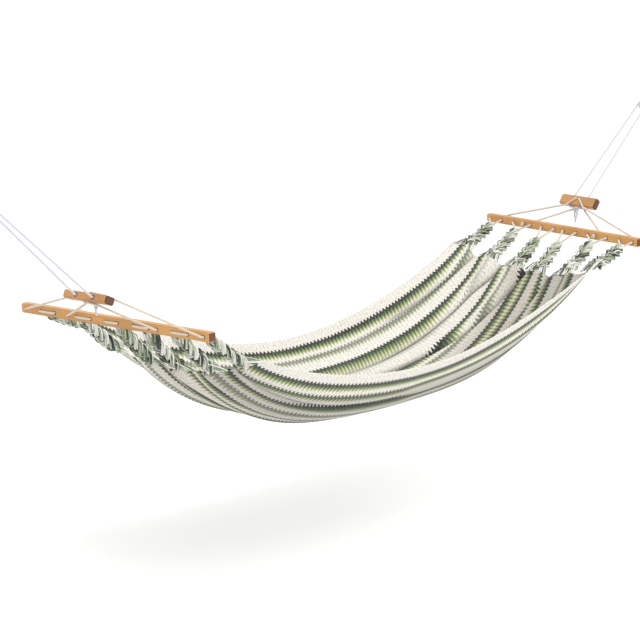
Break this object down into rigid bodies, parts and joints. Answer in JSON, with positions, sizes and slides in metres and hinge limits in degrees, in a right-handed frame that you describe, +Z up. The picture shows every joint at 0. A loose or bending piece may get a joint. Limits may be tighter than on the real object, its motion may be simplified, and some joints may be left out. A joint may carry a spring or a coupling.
{
  "type": "rope hammock",
  "caption": "Hanging garden hammock: a striped woven cotton bed laced between two drilled wooden spreader bars, with cord legs, gathering blocks and ropes to open steel hooks.",
  "frame": {"origin": "the fixing end of the left hook's shank", "axes": "+X along the hammock from the left hook to the right hook, +Y across it to the far side, +Z up"},
  "size_m": [3.5762, 0.8974, 1.0542],
  "materials": {
    "bar_wood": "clear-coated orange-brown hardwood",
    "block_wood": "clear-coated pale hardwood",
    "cotton_cord": "twisted natural cotton cord",
    "rope": "braided white rope",
    "warp_yarn": "plaited white and green cotton yarn",
    "striped_weave": "striped handwoven cotton",
    "steel": "zinc-plated steel"
  },
  "bodies": {
    "hooks": {"left_hook": "steel", "right_hook": "steel"},
    "hammock": {"left_thimble": "steel", "left_suspension_rope": "rope", "left_rope_knot": "rope", "left_gathering_block": "block_wood", "left_lacing_cord": "cotton_cord", "left_cord_knot_far": "cotton_cord", "left_cord_knot_near": "cotton_cord", "left_spreader_bar": "bar_wood", "left_hank_1": "warp_yarn", "left_hank_2": "warp_yarn", "left_hank_3": "warp_yarn", "left_hank_4": "warp_yarn", "left_hank_5": "warp_yarn", "left_hank_6": "warp_yarn", "bed_cloth": "striped_weave"},
    "right_end": {"right_thimble": "steel", "right_suspension_rope": "rope", "right_rope_knot": "rope", "right_gathering_block": "block_wood", "right_lacing_cord": "cotton_cord", "right_cord_knot_far": "cotton_cord", "right_cord_knot_near": "cotton_cord", "right_spreader_bar": "bar_wood", "right_hank_1": "warp_yarn", "right_hank_2": "warp_yarn", "right_hank_3": "warp_yarn", "right_hank_4": "warp_yarn", "right_hank_5": "warp_yarn", "right_hank_6": "warp_yarn"}
  },
  "joints": [
    {"name": "swing", "type": "hinge", "parent": "hooks", "child": "hammock", "pos_m": [0.05545, 0, -0.0505], "axis": [1, 0, 0], "range_deg": [-25, 25]},
    {"name": "twist", "type": "hinge", "parent": "hammock", "child": "right_end", "pos_m": [3.51432, 0, -0.0505], "axis": [1, 0, 0], "range_deg": [-8, 8]}
  ]
}
